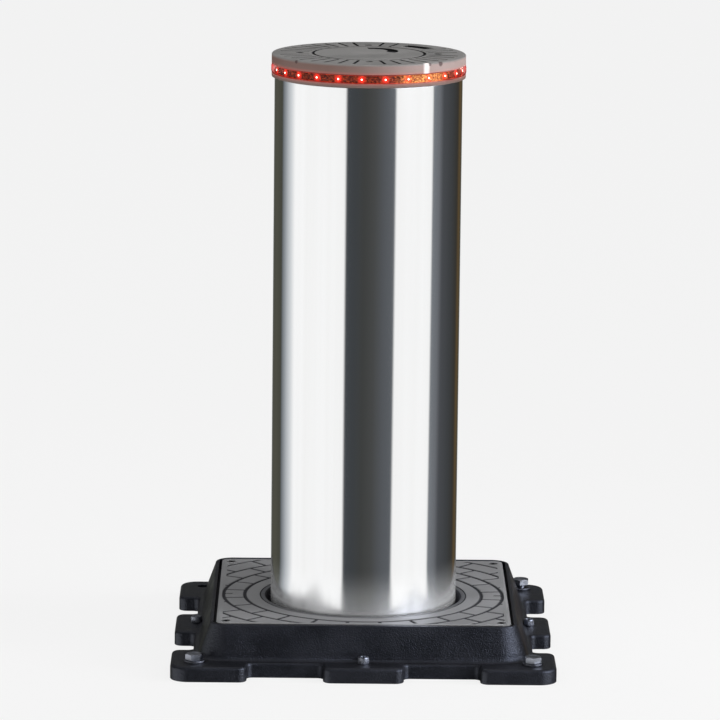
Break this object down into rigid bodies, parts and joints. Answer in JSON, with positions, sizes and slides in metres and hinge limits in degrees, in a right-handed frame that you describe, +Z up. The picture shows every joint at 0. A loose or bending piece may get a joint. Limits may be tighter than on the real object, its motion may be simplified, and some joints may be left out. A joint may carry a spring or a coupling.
{
  "type": "automatic bollard",
  "caption": "Rising steel bollard with a lit cast head, a cast cover frame with bolt lugs, and an in-ground casing with guides, hydraulic ram and power pack.",
  "frame": {"origin": "middle of the casing's underside", "axes": "+Z up along the cylinder's travel, -Y towards the front of the cover frame, +X to the right"},
  "size_m": [0.555, 0.555, 1.9059],
  "materials": {
    "casting": "textured black coating",
    "plate": "grey painted casting",
    "collar": "dark grey, machined",
    "stainless": "polished along its length",
    "aluminium": "grey cast, matt",
    "lens": "clear band over the lights",
    "board": "flexible strip with red lights",
    "zinc": "galvanised",
    "bolt": "dark oiled",
    "steel": "bright drawn",
    "chrome": "ground and plated",
    "ram": "dark blue paint",
    "bronze": "turned",
    "rubber": "matt black",
    "nylon": "machined natural nylon",
    "motor": "dark grey paint",
    "tank": "grey paint",
    "box": "grey moulded",
    "pipe": "grey pipe"
  },
  "bodies": {
    "housing": {"frame_casting": "casting", "cover_plate": "plate", "collar_ring": "collar", "wiper_seal": "rubber", "seal_clamp_ring": "zinc", "plate_screw_front_left": "bolt", "plate_screw_front_right": "bolt", "plate_screw_back_left": "bolt", "plate_screw_back_right": "bolt", "corner_bolt_front_left": "zinc", "corner_bolt_front_right": "zinc", "corner_bolt_back_right": "zinc", "corner_washer_front_left": "zinc", "corner_washer_front_right": "zinc", "corner_washer_back_right": "zinc", "mid_lug_screw_front": "zinc", "mid_lug_screw_right": "zinc", "mid_lug_screw_back": "zinc", "mid_lug_screw_left": "zinc", "casing": "zinc", "casing_flange": "zinc", "casing_base": "zinc", "drain_outlet": "pipe", "conduit_socket": "pipe", "guide_plate": "zinc", "guide_bush": "nylon", "guide_rail_left": "steel", "guide_rail_right": "steel", "bump_stop": "rubber", "ram_barrel": "ram", "ram_gland": "bronze", "ram_foot": "ram", "ram_pin": "steel", "motor": "motor", "pump_block": "aluminium", "oil_tank": "tank", "pack_bracket": "zinc", "hydraulic_pipe": "steel", "junction_box": "box", "switch_strip": "zinc", "limit_switch_upper": "box", "limit_switch_lower": "box"},
    "cylinder": {"tube": "stainless", "foot_ring": "zinc", "guide_shoe_left": "nylon", "guide_shoe_right": "nylon", "lift_bridge": "zinc", "ram_rod": "chrome", "rod_nut": "zinc", "switch_magnet": "steel", "head_base_ring": "aluminium", "led_board": "board", "led_lens": "lens", "head_gasket": "rubber", "head_casting": "aluminium", "head_screw_front": "bolt", "head_screw_right": "bolt", "head_screw_back": "bolt", "head_screw_left": "bolt"}
  },
  "joints": [
    {"name": "lift", "type": "slide", "parent": "housing", "child": "cylinder", "axis": [0, 0, 1], "range_m": [-0.8, 0]}
  ]
}
